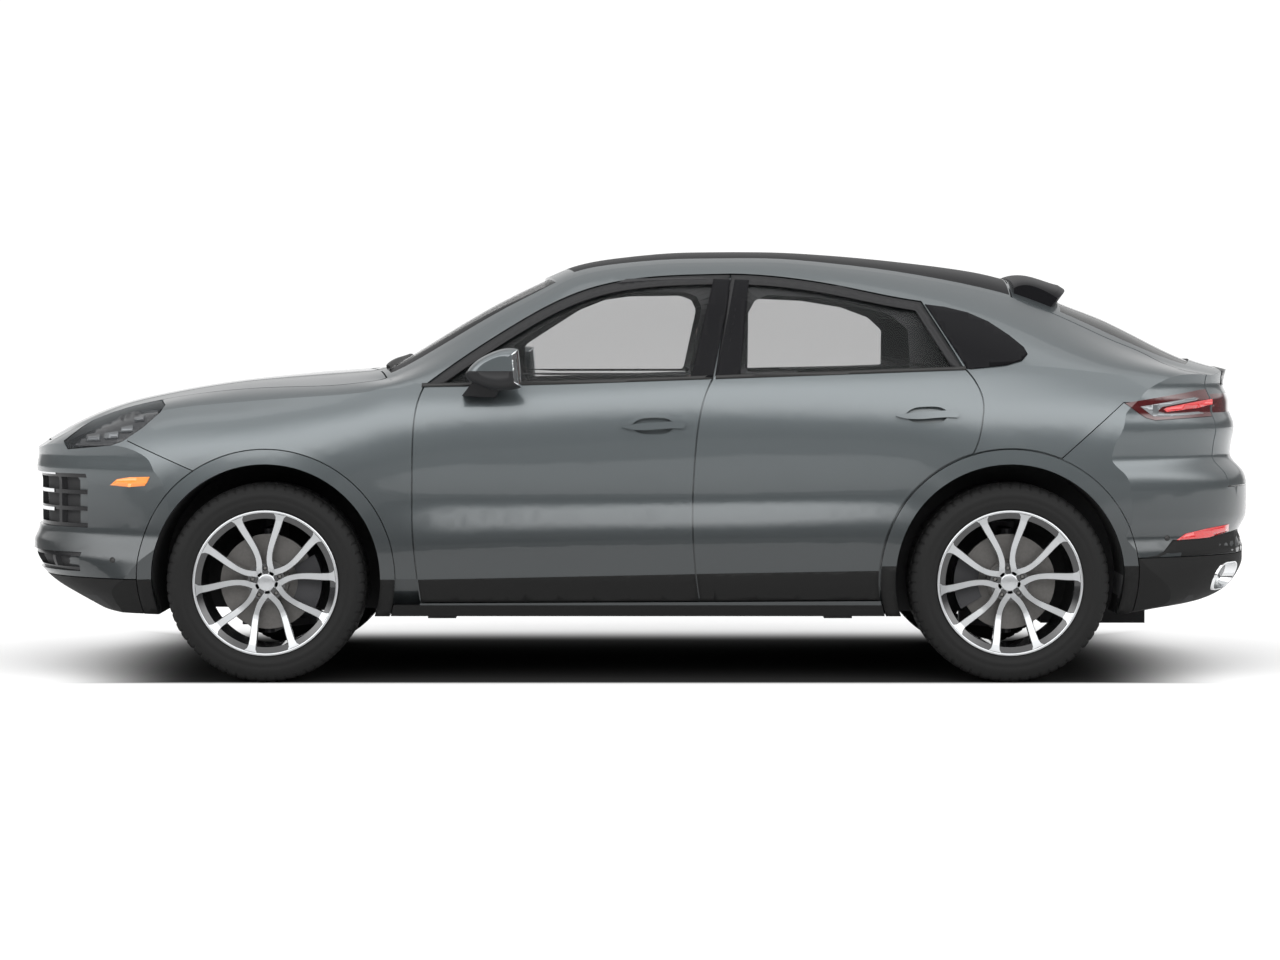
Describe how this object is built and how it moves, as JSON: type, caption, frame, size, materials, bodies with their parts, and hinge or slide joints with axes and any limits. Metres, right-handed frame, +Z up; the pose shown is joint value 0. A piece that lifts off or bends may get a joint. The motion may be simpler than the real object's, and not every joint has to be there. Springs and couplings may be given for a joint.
{
  "type": "coupe sport utility vehicle",
  "caption": "Five-door coupe-roofed sport utility vehicle with hinged doors, hood and tailgate, steered front wheels and free-rolling wheels.",
  "frame": {"origin": "on the ground, midway along the length and width", "axes": "+X to the nose, +Y to the vehicle's left, +Z up"},
  "size_m": [4.9298, 2.1942, 1.6888],
  "materials": {
    "black_plastic": "grained",
    "body_paint": "metallic clear coat",
    "brake_disc": "machined",
    "dash": "soft touch",
    "engine": "plain block",
    "exhaust": "stainless",
    "glass": "dark tinted",
    "gloss_black": "gloss black",
    "gloss_trim": "gloss",
    "knuckle": "cast",
    "lamp_clear": "clear lens",
    "lamp_red": "red lens",
    "rim": "machined and lacquered",
    "structure": "satin undercoat",
    "trim_cloth": "red-brown leather",
    "tyre": "rubber",
    "underbody": "undertray"
  },
  "bodies": {
    "body": {"body_shell": "body_paint", "floor_pan": "underbody", "front_bumper": "body_paint", "front_grille": "gloss_trim", "front_fenders": "body_paint", "headlamps": "lamp_clear", "rear_bumper": "body_paint", "tail_lamps": "lamp_red", "lower_cladding": "black_plastic", "wheel_arch_trims": "body_paint", "windscreen": "glass", "quarter_glass": "glass", "roof_panel": "gloss_black", "dashboard": "dash", "steering_wheel": "dash", "front_seats": "trim_cloth", "rear_seat": "trim_cloth", "engine_block": "engine", "exhaust": "exhaust", "front_suspension": "structure", "rear_suspension": "structure"},
    "hood": {"hood": "body_paint"},
    "tailgate": {"tailgate": "body_paint", "rear_glass": "glass", "roof_spoiler": "gloss_black", "light_bar": "lamp_red"},
    "front_door_left": {"front_door_left": "body_paint", "front_door_glass_left": "glass", "mirror_left": "body_paint"},
    "rear_door_left": {"rear_door_left": "body_paint", "rear_door_glass_left": "glass"},
    "steered_left": {"front_knuckle_left": "knuckle"},
    "front_wheel_left": {"front_tyre_left": "tyre", "front_rim_left": "rim", "front_brake_disc_left": "brake_disc"},
    "rear_wheel_left": {"rear_tyre_left": "tyre", "rear_rim_left": "rim", "rear_brake_disc_left": "brake_disc"},
    "front_door_right": {"front_door_right": "body_paint", "front_door_glass_right": "glass", "mirror_right": "body_paint"},
    "rear_door_right": {"rear_door_right": "body_paint", "rear_door_glass_right": "glass"},
    "steered_right": {"front_knuckle_right": "knuckle"},
    "front_wheel_right": {"front_tyre_right": "tyre", "front_rim_right": "rim", "front_brake_disc_right": "brake_disc"},
    "rear_wheel_right": {"rear_tyre_right": "tyre", "rear_rim_right": "rim", "rear_brake_disc_right": "brake_disc"}
  },
  "joints": [
    {"name": "steer_left", "type": "hinge", "parent": "body", "child": "steered_left", "pos_m": [1.456, 0.8075, 0.389], "axis": [0, 0, 1], "range_deg": [-33, 33]},
    {"name": "steer_right", "type": "hinge", "parent": "body", "child": "steered_right", "pos_m": [1.456, -0.8075, 0.389], "axis": [0, 0, 1], "range_deg": [-33, 33]},
    {"name": "front_wheel_spin_left", "type": "hinge", "parent": "steered_left", "child": "front_wheel_left", "pos_m": [1.456, 0.8075, 0.389], "axis": [0, 1, 0], "continuous": true},
    {"name": "rear_wheel_spin_left", "type": "hinge", "parent": "body", "child": "rear_wheel_left", "pos_m": [-1.439, 0.8075, 0.389], "axis": [0, 1, 0], "continuous": true},
    {"name": "front_wheel_spin_right", "type": "hinge", "parent": "steered_right", "child": "front_wheel_right", "pos_m": [1.456, -0.8075, 0.389], "axis": [0, 1, 0], "continuous": true},
    {"name": "rear_wheel_spin_right", "type": "hinge", "parent": "body", "child": "rear_wheel_right", "pos_m": [-1.439, -0.8075, 0.389], "axis": [0, 1, 0], "continuous": true},
    {"name": "front_door_left_hinge", "type": "hinge", "parent": "body", "child": "front_door_left", "pos_m": [0.889, 0.967, 0.7], "axis": [0, 0, -1], "range_deg": [0, 65]},
    {"name": "rear_door_left_hinge", "type": "hinge", "parent": "body", "child": "rear_door_left", "pos_m": [-0.2085, 0.97, 0.7], "axis": [0, 0, -1], "range_deg": [0, 68]},
    {"name": "front_door_right_hinge", "type": "hinge", "parent": "body", "child": "front_door_right", "pos_m": [0.889, -0.967, 0.7], "axis": [0, 0, 1], "range_deg": [0, 65]},
    {"name": "rear_door_right_hinge", "type": "hinge", "parent": "body", "child": "rear_door_right", "pos_m": [-0.2085, -0.97, 0.7], "axis": [0, 0, 1], "range_deg": [0, 68]},
    {"name": "hood_hinge", "type": "hinge", "parent": "body", "child": "hood", "pos_m": [0.998, 0, 1.219], "axis": [0, -1, 0], "range_deg": [0, 52]},
    {"name": "tailgate_hinge", "type": "hinge", "parent": "body", "child": "tailgate", "pos_m": [-1.478, 0, 1.594], "axis": [0, 1, 0], "range_deg": [0, 68]}
  ],
  "couplings": [
    {"joint": "steer_right", "follows": "steer_left", "ratio": 1}
  ]
}
